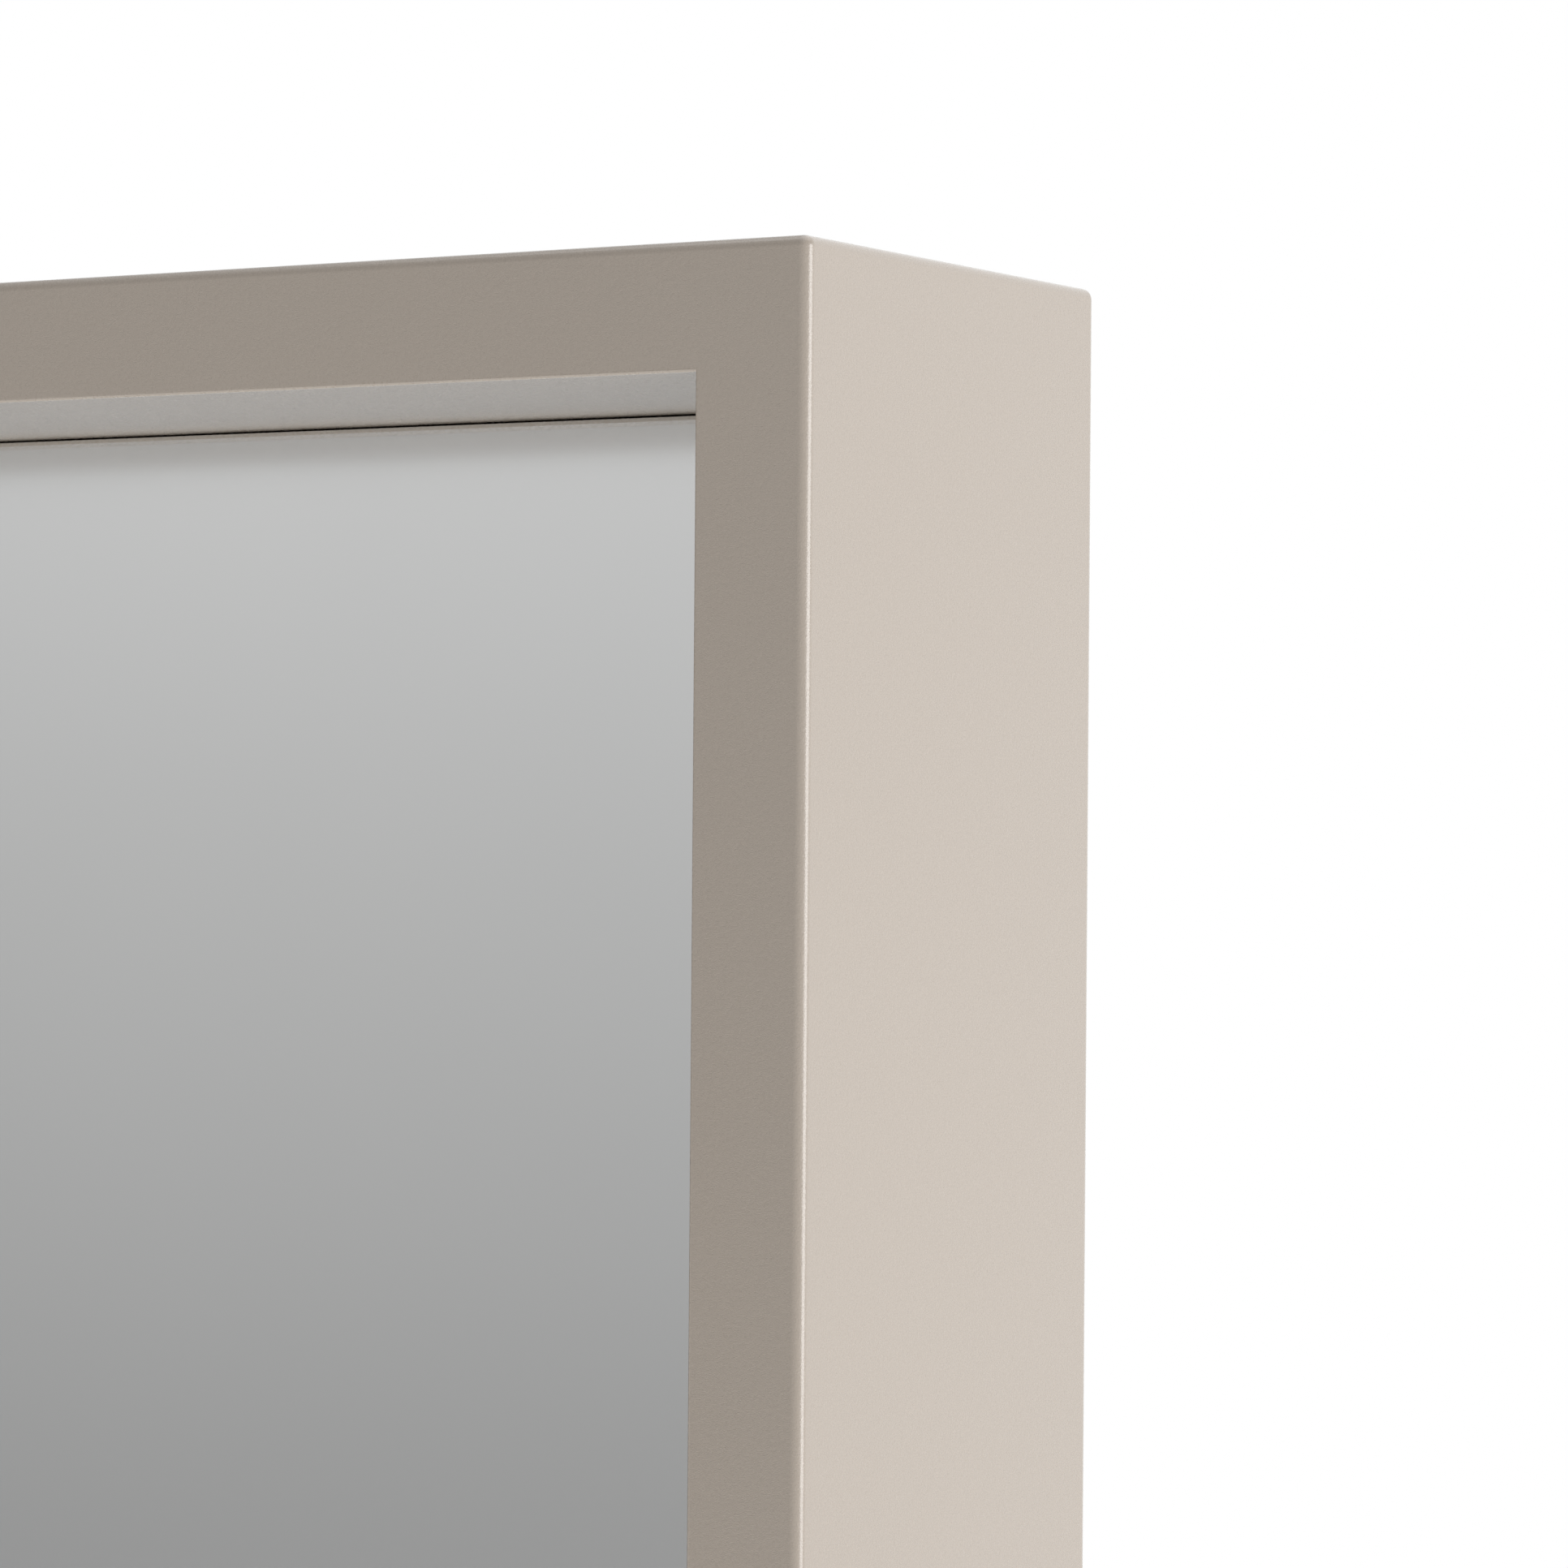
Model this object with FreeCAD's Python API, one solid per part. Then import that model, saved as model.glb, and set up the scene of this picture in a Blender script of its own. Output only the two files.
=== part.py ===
import FreeCAD, Part
import math
import os

# Open-fronted hanging wall cabinet with a recessed mirror back.
# Millimetres, +Z up. The wall is the plane y = 0 and the open front faces -Y.
# The pieces are worked out about the cabinet's middle height, and are moved at the end so that
# the origin is the point it hangs from: on the wall, midway between the holes of the wall plates.

# Overall size; the depth adds up from the mirror's setback and the layers behind it
width = 600.0
height = 800.0

# Lacquered carcass boards
side_thickness = 30.0
top_thickness = 30.0
outer_arris = 2.7
inner_arris = 1.0

# Plywood splines across the mitred corners
spline_thickness = 4.0
spline_width = 18.0
spline_front_margin = 25.0
spline_back_margin = 30.0
spline_clearance = 0.1

# Mirror, its tapes and the board that carries it
mirror_setback = 103.0
mirror_thickness = 4.0
mirror_gap = 0.5
mirror_bevel_width = 2.1
mirror_bevel_depth = 0.9
tape_thickness = 1.0
tape_width = 20.0
tape_end_margin = 40.0
tape_count = 5
board_thickness = 12.0
board_clearance = 0.5
cavity_depth = 20.0

# Rails that hold the board inside the carcass
rail_width = 20.0
rail_wall_gap = 4.0
rail_joint_gap = 0.2
rail_end_margin = 40.0
rail_screw_count = 4
rail_screw_radius = 2.0
rail_screw_head_radius = 4.0
rail_screw_bite = 20.0
board_screw_radius = 1.75
board_screw_head_radius = 3.5
board_screw_bite = 8.0
thread_clearance = 0.05
recess_depth = 1.4
recess_slot = 0.9
recess_reach = 0.6  # of the head's radius
screw_tip_share = 0.2  # of the shank's radius

# Glass shelf on pins
shelf_thickness = 6.0
shelf_side_gap = 2.0
shelf_back_gap = 4.0
shelf_front_setback = 14.0
shelf_corner_radius = 6.0
shelf_edge_chamfer = 0.6
shelf_level = 250.0
row_pitch = 32.0
row_count = 3
pin_edge_margin = 16.0
pin_radius = 2.5
pin_insert = 9.0
pin_collar_radius = 4.0
pin_collar_length = 2.0
pin_seat_radius = 3.0
pin_seat_length = 9.0
pin_flat = 2.0
pad_thickness = 1.2
pad_width = 4.0
sleeve_clearance = 0.05
sleeve_wall = 1.0
sleeve_length = 11.0
sleeve_flange_radius = 4.6
sleeve_flange = 0.8

# Wall plates
plate_thickness = 2.0
plate_half_width = 18.0
plate_drop = 36.0
plate_hole_radius = 2.75
plate_hole_pitch = 20.0
plate_hole_margin = 8.0
lip_height = 12.0

# Adjustable hangers
hanger_inset = 80.0
hanger_travel = 5.0
travel_margin = 1.0
hook_thickness = 3.0
hook_clearance = 0.4
hook_drop = 9.0
nut_height = 10.0
housing_height = 70.0
housing_rail_gap = 1.0
housing_plate = 2.0
housing_half_width = 12.0
housing_ear = 10.0
housing_web = 4.0
housing_web_drop = 10.0
housing_lip_gap = 1.0
ear_hole_inset = 5.0
ear_hole_margin = 8.0
ear_screw_bite = 9.0

# Height screws
screw_radius = 3.0
screw_head_radius = 4.5
screw_head_height = 5.0
screw_collar_radius = 5.0
screw_collar_height = 2.0
screw_thread_length = 33.0
screw_socket_sides = 6
screw_socket_flat = 4.0
screw_socket_depth = 3.0
running_clearance = 0.05
end_play = 0.1

# Access holes in the top, and their caps
access_radius = 4.0
cap_radius = 6.0
cap_thickness = 1.5
cap_clearance = 0.15
cap_stem_length = 8.0
cap_stem_wall = 1.2

# Bumpers on the bottom panel's back edge, which hold the carcass just off the wall
bumper_radius = 6.0
bumper_thickness = 1.5
bumper_inset = 40.0

# Places worked out from the sizes above
depth = mirror_setback + mirror_thickness + tape_thickness + board_thickness + cavity_depth
carcass_y = (-depth, -bumper_thickness)
opening_half_width = width / 2 - side_thickness
opening_half_height = height / 2 - top_thickness
mirror_front = -depth + mirror_setback
mirror_back = mirror_front + mirror_thickness
board_front = mirror_back + tape_thickness
board_back = board_front + board_thickness
rail_back = -rail_wall_gap
rail_middle_y = (board_back + rail_back) / 2
hanger_x = width / 2 - hanger_inset
housing_top = opening_half_height - rail_width - housing_rail_gap
web_top = housing_top - housing_web_drop
web_bottom = web_top - housing_web
collar_bottom = web_bottom - end_play - screw_collar_height
thread_end = collar_bottom - screw_thread_length
nut_top = collar_bottom - hanger_travel - travel_margin
nut_bottom = nut_top - nut_height
hook_top = thread_end - hanger_travel - travel_margin
lip_top = hook_top - hook_thickness
lip_back = -(plate_thickness + 2 * hook_clearance + hook_thickness)
lip_front = lip_back - plate_thickness
plate_top = lip_top - lip_height + plate_thickness
plate_hole_top = plate_top - plate_thickness - plate_hole_margin
hang_height = plate_hole_top - plate_hole_pitch / 2
arm_front = board_back + housing_plate + hook_clearance
arm_back = arm_front + hook_thickness
screw_y = arm_back + hook_clearance + screw_radius
nut_back = screw_y + (screw_y - arm_front)
pin_level = -opening_half_height + shelf_level
shelf_bottom = pin_level + pin_flat + pad_thickness
shelf_front = -depth + shelf_front_setback
shelf_back = mirror_front - shelf_back_gap
shelf_half_width = opening_half_width - shelf_side_gap
pin_columns = (shelf_front + pin_edge_margin, shelf_back - pin_edge_margin)
pin_seat_x = opening_half_width - sleeve_flange - pin_collar_length
pin_end_x = pin_seat_x - pin_seat_length


def point(x, y, z):
    """A place or a direction."""
    return FreeCAD.Vector(x, y, z)


def block(x_range, y_range, z_range):
    """An upright box between two values on each axis."""
    low = point(min(x_range), min(y_range), min(z_range))
    size = [max(r) - min(r) for r in (x_range, y_range, z_range)]
    return Part.makeBox(size[0], size[1], size[2], low)


def prism_along_y(outline, y_range):
    """A prism whose outline is given as (x, z) corners."""
    corners = [point(x, min(y_range), z) for x, z in outline]
    face = Part.Face(Part.makePolygon(corners + corners[:1]))
    return face.extrude(point(0, max(y_range) - min(y_range), 0))


def fused(shapes):
    """One solid from pieces that meet."""
    return shapes[0].fuse(shapes[1:]).removeSplitter()


def group(shapes):
    """Separate identical solids kept together."""
    return Part.makeCompound(shapes)


def evenly(first, last, count):
    """Count values from first to last, equally spaced."""
    return [first + (last - first) * i / (count - 1) for i in range(count)]


def between(values):
    """The middles of each pair of neighbours."""
    return [(a + b) / 2 for a, b in zip(values, values[1:])]


def screw_form(radius, head_radius, length, seat, direction, growth=0.0):
    """Countersunk screw blank; grown, it is the hole that takes the screw."""
    head_height = head_radius - radius
    neck = seat + direction * head_height
    head = Part.makeCone(head_radius + growth, radius + growth, head_height, seat, direction)
    shank_length = length - head_height - radius
    shank = Part.makeCylinder(radius + growth, shank_length, neck, direction)
    tip_start = neck + direction * shank_length
    tip = Part.makeCone(radius + growth, growth + radius * screw_tip_share, radius + growth, tip_start,
                        direction)
    return fused([head, shank, tip])


def cross_recess(head_radius, seat, direction):
    """The cross-shaped driver recess in a screw's head."""
    reach = head_radius * recess_reach
    bars = []
    for spread in ((reach, recess_slot / 2), (recess_slot / 2, reach)):
        bar = Part.makeBox(2 * spread[0], 2 * spread[1], 2 * recess_depth,
                           point(-spread[0], -spread[1], -recess_depth))
        bar.Placement = FreeCAD.Placement(seat, FreeCAD.Rotation(point(0, 0, 1), direction)).multiply(
            bar.Placement)
        bars.append(bar)
    return fused(bars)


class Screw:
    """A countersunk screw at a seat, driven along a direction."""

    def __init__(self, radius, head_radius, length, seat, direction):
        self.form = (radius, head_radius, length, seat, direction)

    def solid(self):
        _, head_radius, _, seat, direction = self.form
        return screw_form(*self.form).cut(cross_recess(head_radius, seat, direction))

    def hole(self):
        return screw_form(*self.form, growth=thread_clearance)


def bored(shape, screws):
    """A shape with the holes of the screws that pass into it."""
    return shape.cut([screw.hole() for screw in screws])


# ---- screws of the rails -------------------------------------------------------------

rail_screw_length = rail_width + rail_screw_bite
board_screw_length = (rail_back - board_back) + board_screw_bite
across = evenly(-hanger_x + rail_end_margin, hanger_x - rail_end_margin, rail_screw_count)
upright_end = opening_half_height - rail_width - rail_end_margin
upright = evenly(-upright_end, upright_end, rail_screw_count)


def level_rail_screws(sign):
    """Screws that hold the top (sign 1) or bottom (sign -1) rail to its panel."""
    seat_z = sign * (opening_half_height - rail_width)
    return [Screw(rail_screw_radius, rail_screw_head_radius, rail_screw_length,
                  point(x, rail_middle_y, seat_z), point(0, 0, sign)) for x in across]


def upright_rail_screws(sign):
    """Screws that hold the right (sign 1) or left (sign -1) rail to its panel."""
    seat_x = sign * (opening_half_width - rail_width)
    return [Screw(rail_screw_radius, rail_screw_head_radius, rail_screw_length,
                  point(seat_x, rail_middle_y, z), point(sign, 0, 0)) for z in upright]


def board_screws_at(places):
    """Screws through a rail into the board, from the back."""
    return [Screw(board_screw_radius, board_screw_head_radius, board_screw_length,
                  point(x, rail_back, z), point(0, -1, 0)) for x, z in places]


rail_middle_z = opening_half_height - rail_width / 2
rail_middle_x = opening_half_width - rail_width / 2
both = (1, -1)
level_board_screws = {s: board_screws_at([(x, s * rail_middle_z) for x in between(across)]) for s in both}
upright_board_screws = {s: board_screws_at([(s * rail_middle_x, z) for z in between(upright)]) for s in both}
level_screws = {s: level_rail_screws(s) for s in both}
upright_screws = {s: upright_rail_screws(s) for s in both}


# ---- hangers -------------------------------------------------------------------------

def ear_screws(sign):
    """Screws that hold one hanger's housing to the board."""
    reach = housing_half_width + housing_ear - ear_hole_inset
    levels = (housing_top - ear_hole_margin, housing_top - housing_height + ear_hole_margin)
    seat_y = board_back + housing_plate
    return [Screw(board_screw_radius, board_screw_head_radius, housing_plate + ear_screw_bite,
                  point(sign * hanger_x + dx, seat_y, z), point(0, -1, 0))
            for dx in (-reach, reach) for z in levels]


def hanger_housing(sign):
    """Folded steel channel with ears, and a web that carries the height screw."""
    x = sign * hanger_x
    z_range = (housing_top - housing_height, housing_top)
    plate_reach = housing_half_width + housing_ear
    plate = block((x - plate_reach, x + plate_reach), (board_back, board_back + housing_plate), z_range)
    cheeks = [block((x + side * housing_half_width, x + side * (housing_half_width - housing_plate)),
                    (board_back, nut_back), z_range) for side in both]
    web = block((x - housing_half_width, x + housing_half_width), (board_back, nut_back),
                (web_bottom, web_top))
    body = fused([plate, web] + cheeks)
    lip_room = block((x - plate_reach, x + plate_reach), (lip_front - housing_lip_gap, 0),
                     (z_range[0], hook_top + hanger_travel))
    screw_hole = Part.makeCylinder(screw_radius + running_clearance, housing_web,
                                   point(x, screw_y, web_bottom), point(0, 0, 1))
    return bored(body.cut([lip_room, screw_hole]), ear_screws(sign))


def hanger_hook(sign):
    """Steel strip with a tapped block at its top and a turned-down finger at its back."""
    x = sign * hanger_x
    reach = housing_half_width - housing_plate - hook_clearance
    across_hook = (x - reach, x + reach)
    arm = block(across_hook, (arm_front, arm_back), (lip_top, nut_top))
    nut = block(across_hook, (arm_front, nut_back), (nut_bottom, nut_top))
    finger_back = -(plate_thickness + hook_clearance)
    bridge = block(across_hook, (arm_front, finger_back), (lip_top, hook_top))
    finger = block(across_hook, (finger_back - hook_thickness, finger_back), (lip_top - hook_drop, hook_top))
    tapped_hole = Part.makeCylinder(screw_radius + running_clearance, nut_height,
                                    point(x, screw_y, nut_bottom), point(0, 0, 1))
    return fused([arm, nut, bridge, finger]).cut(tapped_hole)


def wall_plate(sign):
    """Steel plate for the wall, with a joggled lip that the hook hangs on."""
    x = sign * hanger_x
    across_plate = (x - plate_half_width, x + plate_half_width)
    flat = block(across_plate, (-plate_thickness, 0), (plate_top - plate_drop, plate_top))
    joggle = block(across_plate, (lip_front, 0), (plate_top - plate_thickness, plate_top))
    lip = block(across_plate, (lip_front, lip_back), (plate_top - plate_thickness, lip_top))
    holes = [Part.makeCylinder(plate_hole_radius, plate_thickness,
                               point(x, -plate_thickness, plate_hole_top - drop), point(0, 1, 0))
             for drop in (0, plate_hole_pitch)]
    return fused([flat, joggle, lip]).cut(holes)


def height_screw(sign):
    """Shouldered screw that turns in the housing's web and lifts the housing on the hook."""
    x = sign * hanger_x
    up = point(0, 0, 1)
    head_bottom = web_top + end_play
    shaft = Part.makeCylinder(screw_radius, head_bottom - thread_end, point(x, screw_y, thread_end), up)
    collar = Part.makeCylinder(screw_collar_radius, screw_collar_height,
                               point(x, screw_y, collar_bottom), up)
    head = Part.makeCylinder(screw_head_radius, screw_head_height, point(x, screw_y, head_bottom), up)
    corner = screw_socket_flat / 2 / math.cos(math.pi / screw_socket_sides)
    socket_floor = head_bottom + screw_head_height - screw_socket_depth
    turns = [2 * math.pi * i / screw_socket_sides for i in range(screw_socket_sides)]
    outline = [point(x + corner * math.cos(turn), screw_y + corner * math.sin(turn), socket_floor)
               for turn in turns]
    socket = Part.Face(Part.makePolygon(outline + outline[:1])).extrude(point(0, 0, screw_socket_depth))
    return fused([shaft, collar, head]).cut(socket)


def access_hole(sign):
    """The way through the top panel and the top rail to a height screw, with the cap's seat."""
    seat = point(sign * hanger_x, screw_y, opening_half_height - rail_width)
    bore = Part.makeCylinder(access_radius, rail_width + top_thickness, seat, point(0, 0, 1))
    rebate = Part.makeCylinder(cap_radius, cap_thickness,
                               point(sign * hanger_x, screw_y, height / 2 - cap_thickness), point(0, 0, 1))
    return fused([bore, rebate])


def access_cap(sign):
    """Push-in cap, flush with the top, with a hollow stem."""
    down = point(0, 0, -1)
    top = point(sign * hanger_x, screw_y, height / 2)
    disc = Part.makeCylinder(cap_radius - cap_clearance, cap_thickness, top, down)
    stem_radius = access_radius - cap_clearance
    stem = Part.makeCylinder(stem_radius, cap_thickness + cap_stem_length, top, down)
    hollow = Part.makeCylinder(stem_radius - cap_stem_wall, cap_stem_length,
                               top + down * cap_thickness, down)
    return fused([disc, stem]).cut(hollow)


# ---- carcass -------------------------------------------------------------------------

def carcass_ring():
    """The four mitred boards as one rounded ring, before it is cut at its corners."""
    outer = block((-width / 2, width / 2), carcass_y, (-height / 2, height / 2))
    outer = outer.makeFillet(outer_arris, outer.Edges)
    opening = block((-opening_half_width, opening_half_width), carcass_y,
                    (-opening_half_height, opening_half_height))
    ring = outer.cut(opening)
    around = opening.BoundBox
    around.enlarge(inner_arris / 2)
    rim = [edge for edge in ring.Edges
           if around.isInside(edge.BoundBox) and edge.BoundBox.YLength < inner_arris / 2]
    return ring.makeFillet(inner_arris, rim)


def mitred(ring, corners):
    """One board of the ring, cut out by the outline that its mitres give."""
    return ring.common(prism_along_y(corners, carcass_y))


def corner_spline(x_sign, z_sign, growth=0.0):
    """Plywood strip set square across one corner's mitre."""
    middle = point(x_sign * (width / 2 - side_thickness / 2), 0, z_sign * (height / 2 - top_thickness / 2))
    y_range = (-depth + spline_front_margin - growth, -spline_back_margin + growth)
    half_width = spline_width / 2 + growth
    half_thickness = spline_thickness / 2 + growth
    strip = block((-half_width, half_width), y_range, (-half_thickness, half_thickness))
    mitre_angle = math.degrees(math.atan2(z_sign * top_thickness, x_sign * side_thickness))
    strip.rotate(point(0, 0, 0), point(0, 1, 0), -(mitre_angle + 90))
    strip.translate(middle)
    return strip


def pin_places(rows):
    """(sign, y, z) of the shelf-pin holes in the given rows, on both sides."""
    return [(sign, y, pin_level + row * row_pitch) for sign in both for row in rows for y in pin_columns]


all_rows = [row - (row_count - 1) // 2 for row in range(row_count)]


def sleeve_hole(sign, y, z):
    """Blind hole in a side panel for a pin sleeve."""
    radius = pin_radius + 2 * sleeve_clearance + sleeve_wall
    return Part.makeCylinder(radius, sleeve_length + sleeve_clearance,
                             point(sign * opening_half_width, y, z), point(sign, 0, 0))


def pin_sleeve(sign, y, z):
    """Flanged metal sleeve that lines a pin hole."""
    outward = point(sign, 0, 0)
    mouth = point(sign * opening_half_width, y, z)
    inner_radius = pin_radius + sleeve_clearance
    tube = Part.makeCylinder(inner_radius + sleeve_wall, sleeve_length, mouth, outward)
    flange_start = mouth - outward * sleeve_flange
    flange = Part.makeCylinder(sleeve_flange_radius, sleeve_flange, flange_start, outward)
    bore = Part.makeCylinder(inner_radius, sleeve_length + sleeve_flange, flange_start, outward)
    return fused([tube, flange]).cut(bore)


def shelf_pin(sign, y, z):
    """Turned pin with a collar and a seat flattened on top."""
    outward = point(sign, 0, 0)
    collar_start = point(sign * (opening_half_width - sleeve_flange), y, z)
    shank = Part.makeCylinder(pin_radius, pin_insert, collar_start, outward)
    collar = Part.makeCylinder(pin_collar_radius, pin_collar_length, collar_start, outward * -1)
    seat_start = collar_start - outward * pin_collar_length
    seat = Part.makeCylinder(pin_seat_radius, pin_seat_length, seat_start, outward * -1)
    body = fused([shank, collar, seat])
    over_flat = block((sign * (opening_half_width - sleeve_flange), sign * pin_end_x),
                      (y - pin_collar_radius, y + pin_collar_radius), (z + pin_flat, z + pin_collar_radius))
    return body.cut(over_flat)


def pin_pad(sign, y, z):
    """Clear pad on a pin's flat, under the shelf."""
    return block((sign * pin_seat_x, sign * pin_end_x), (y - pad_width / 2, y + pad_width / 2),
                 (z + pin_flat, z + pin_flat + pad_thickness))


ring = carcass_ring()
outer_x, outer_z = width / 2, height / 2
inner_x, inner_z = opening_half_width, opening_half_height
corners = [(1, 1), (1, -1), (-1, 1), (-1, -1)]
spline_grooves = [corner_spline(*corner, growth=spline_clearance) for corner in corners]
access_holes = [access_hole(sign) for sign in both]
housing_screws = {sign: ear_screws(sign) for sign in both}


def side_panel(sign):
    """A side board with its pin holes, spline grooves and screw holes."""
    outline = [(sign * outer_x, outer_z), (sign * outer_x, -outer_z),
               (sign * inner_x, -inner_z), (sign * inner_x, inner_z)]
    board = mitred(ring, outline).cut(spline_grooves)
    holes = [sleeve_hole(*place) for place in pin_places(all_rows) if place[0] == sign]
    return bored(board.cut(holes), upright_screws[sign])


def level_panel(sign):
    """The top (sign 1) or bottom (sign -1) board with its grooves and screw holes."""
    outline = [(-outer_x, sign * outer_z), (outer_x, sign * outer_z),
               (inner_x, sign * inner_z), (-inner_x, sign * inner_z)]
    return bored(mitred(ring, outline).cut(spline_grooves), level_screws[sign])


# ---- mirror, board and rails -----------------------------------------------------------

def mirror_glass():
    """Silvered glass with a ground bevel around its front."""
    half_x = opening_half_width - mirror_gap
    half_z = opening_half_height - mirror_gap
    bevel_back = mirror_front + mirror_bevel_depth
    pane = block((-half_x, half_x), (bevel_back, mirror_back), (-half_z, half_z))
    rings = []
    for y, inset in ((mirror_front, mirror_bevel_width), (bevel_back, 0.0)):
        x, z = half_x - inset, half_z - inset
        loop = [point(-x, y, -z), point(x, y, -z), point(x, y, z), point(-x, y, z)]
        rings.append(Part.makePolygon(loop + loop[:1]))
    face = Part.makeLoft(rings, True, True)
    return fused([pane, face])


def mirror_tape(x):
    """A strip of foam mounting tape between the glass and the board."""
    half_z = opening_half_height - mirror_gap - tape_end_margin
    return block((x - tape_width / 2, x + tape_width / 2), (mirror_back, board_front), (-half_z, half_z))


def back_board():
    """The board that carries the mirror and the hangers."""
    half_x = opening_half_width - board_clearance
    half_z = opening_half_height - board_clearance
    board = block((-half_x, half_x), (board_front, board_back), (-half_z, half_z))
    screws = [s for sign in both
              for s in level_board_screws[sign] + upright_board_screws[sign] + housing_screws[sign]]
    return bored(board, screws)


def level_rail(sign):
    """The top or bottom rail, across the whole opening."""
    rail = block((-opening_half_width, opening_half_width), (board_back, rail_back),
                 (sign * opening_half_height, sign * (opening_half_height - rail_width)))
    return bored(rail, level_screws[sign] + level_board_screws[sign])


def upright_rail(sign):
    """A side rail, between the top and bottom rails."""
    reach = opening_half_height - rail_width - rail_joint_gap
    rail = block((sign * opening_half_width, sign * (opening_half_width - rail_width)),
                 (board_back, rail_back), (-reach, reach))
    return bored(rail, upright_screws[sign] + upright_board_screws[sign])


def wall_bumper(sign):
    """Soft disc between the bottom panel's back edge and the wall."""
    centre = point(sign * (width / 2 - bumper_inset), -bumper_thickness, top_thickness / 2 - height / 2)
    return Part.makeCylinder(bumper_radius, bumper_thickness, centre, point(0, 1, 0))


def glass_shelf():
    """Clear glass shelf with rounded corners and ground edges."""
    pane = block((-shelf_half_width, shelf_half_width), (shelf_front, shelf_back),
                 (shelf_bottom, shelf_bottom + shelf_thickness))
    uprights = [edge for edge in pane.Edges if edge.BoundBox.ZLength > shelf_thickness / 2]
    pane = pane.makeFillet(shelf_corner_radius, uprights)
    rims = [edge for edge in pane.Edges if edge.BoundBox.ZLength < shelf_thickness / 2]
    return pane.makeChamfer(shelf_edge_chamfer, rims)


used_pins = pin_places([0])
tape_reach = opening_half_width - mirror_gap - tape_end_margin
pieces = {
    "side_panel_right": side_panel(1),
    "side_panel_left": side_panel(-1),
    "top_panel": level_panel(1).cut(access_holes),
    "bottom_panel": level_panel(-1),
    "corner_splines": group([corner_spline(*corner) for corner in corners]),
    "back_board": back_board(),
    "mirror_glass": mirror_glass(),
    "mirror_tapes": group([mirror_tape(x) for x in evenly(-tape_reach, tape_reach, tape_count)]),
    "top_rail": level_rail(1).cut(access_holes),
    "bottom_rail": level_rail(-1),
    "side_rail_right": upright_rail(1),
    "side_rail_left": upright_rail(-1),
    "rail_screws": group([s.solid() for sign in both for s in level_screws[sign] + upright_screws[sign]]),
    "board_screws": group([s.solid() for sign in both
                           for s in level_board_screws[sign] + upright_board_screws[sign]]),
    "glass_shelf": glass_shelf(),
    "shelf_pins": group([shelf_pin(*place) for place in used_pins]),
    "pin_pads": group([pin_pad(*place) for place in used_pins]),
    "pin_sleeves": group([pin_sleeve(*place) for place in pin_places(all_rows)]),
    "housing_screws": group([s.solid() for sign in both for s in housing_screws[sign]]),
    "access_caps": group([access_cap(sign) for sign in both]),
    "wall_bumpers": group([wall_bumper(sign) for sign in both]),
}
for sign, side in ((1, "right"), (-1, "left")):
    pieces["hanger_housing_" + side] = hanger_housing(sign)
    pieces["hanger_hook_" + side] = hanger_hook(sign)
    pieces["wall_plate_" + side] = wall_plate(sign)
    pieces["height_screw_" + side] = height_screw(sign)

to_hang_point = point(0, 0, -hang_height)
os.makedirs("parts", exist_ok=True)
for name, shape in pieces.items():
    shape.translated(to_hang_point).exportStep("parts/" + name + ".step")
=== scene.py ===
"""Hanging wall cabinet: a deep, open-fronted carcass in greige lacquer with a recessed mirror back.

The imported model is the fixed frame. Each class below dresses or rebuilds one sub-assembly around it,
in metres, with +Z up, the wall at y = 0 and the open front facing -Y.
"""

import logging
import math
from dataclasses import dataclass, field
from enum import Enum
from typing import Callable, ClassVar, Sequence

import bmesh
import bpy
from mathutils import Matrix, Vector


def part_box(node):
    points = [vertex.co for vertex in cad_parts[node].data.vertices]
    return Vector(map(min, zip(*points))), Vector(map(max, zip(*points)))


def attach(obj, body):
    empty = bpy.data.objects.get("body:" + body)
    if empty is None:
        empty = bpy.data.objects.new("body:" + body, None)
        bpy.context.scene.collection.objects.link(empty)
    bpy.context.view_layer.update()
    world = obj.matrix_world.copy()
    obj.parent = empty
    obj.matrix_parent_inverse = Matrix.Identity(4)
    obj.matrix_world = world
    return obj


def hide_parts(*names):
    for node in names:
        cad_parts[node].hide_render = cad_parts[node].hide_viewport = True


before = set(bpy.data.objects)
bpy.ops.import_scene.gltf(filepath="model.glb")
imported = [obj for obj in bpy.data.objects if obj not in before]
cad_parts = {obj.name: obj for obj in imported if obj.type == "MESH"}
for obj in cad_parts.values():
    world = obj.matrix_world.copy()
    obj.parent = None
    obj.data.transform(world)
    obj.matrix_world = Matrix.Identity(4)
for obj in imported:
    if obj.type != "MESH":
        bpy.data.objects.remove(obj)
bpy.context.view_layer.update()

LOG = logging.getLogger("wall_cabinet")
MM = 0.001
SIDES = {"right": 1.0, "left": -1.0}
SHARP_EDGE = 40.0  # degrees, the least turn that counts as an edge
FACING = 0.9  # the least part of a normal along an axis in a face that looks that way

Colour = tuple[float, float, float]


class Body(Enum):
    """The moving bodies of the cabinet."""

    WALL = "wall_fixings"
    CABINET = "cabinet"
    LEFT_SCREW = "height_screw_left"
    RIGHT_SCREW = "height_screw_right"
    SHELF = "shelf"


# ---- mesh work ------------------------------------------------------------------------


def deselect() -> None:
    """Leaves object mode with nothing selected."""
    if bpy.context.object and bpy.context.object.mode != "OBJECT":
        bpy.ops.object.mode_set(mode="OBJECT")
    bpy.ops.object.select_all(action="DESELECT")


def activate(piece: bpy.types.Object) -> None:
    """Makes one piece the only selected one, and the active one.

    Args:
        piece: The object to work on.
    """
    deselect()
    piece.select_set(True)
    bpy.context.view_layer.objects.active = piece


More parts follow.
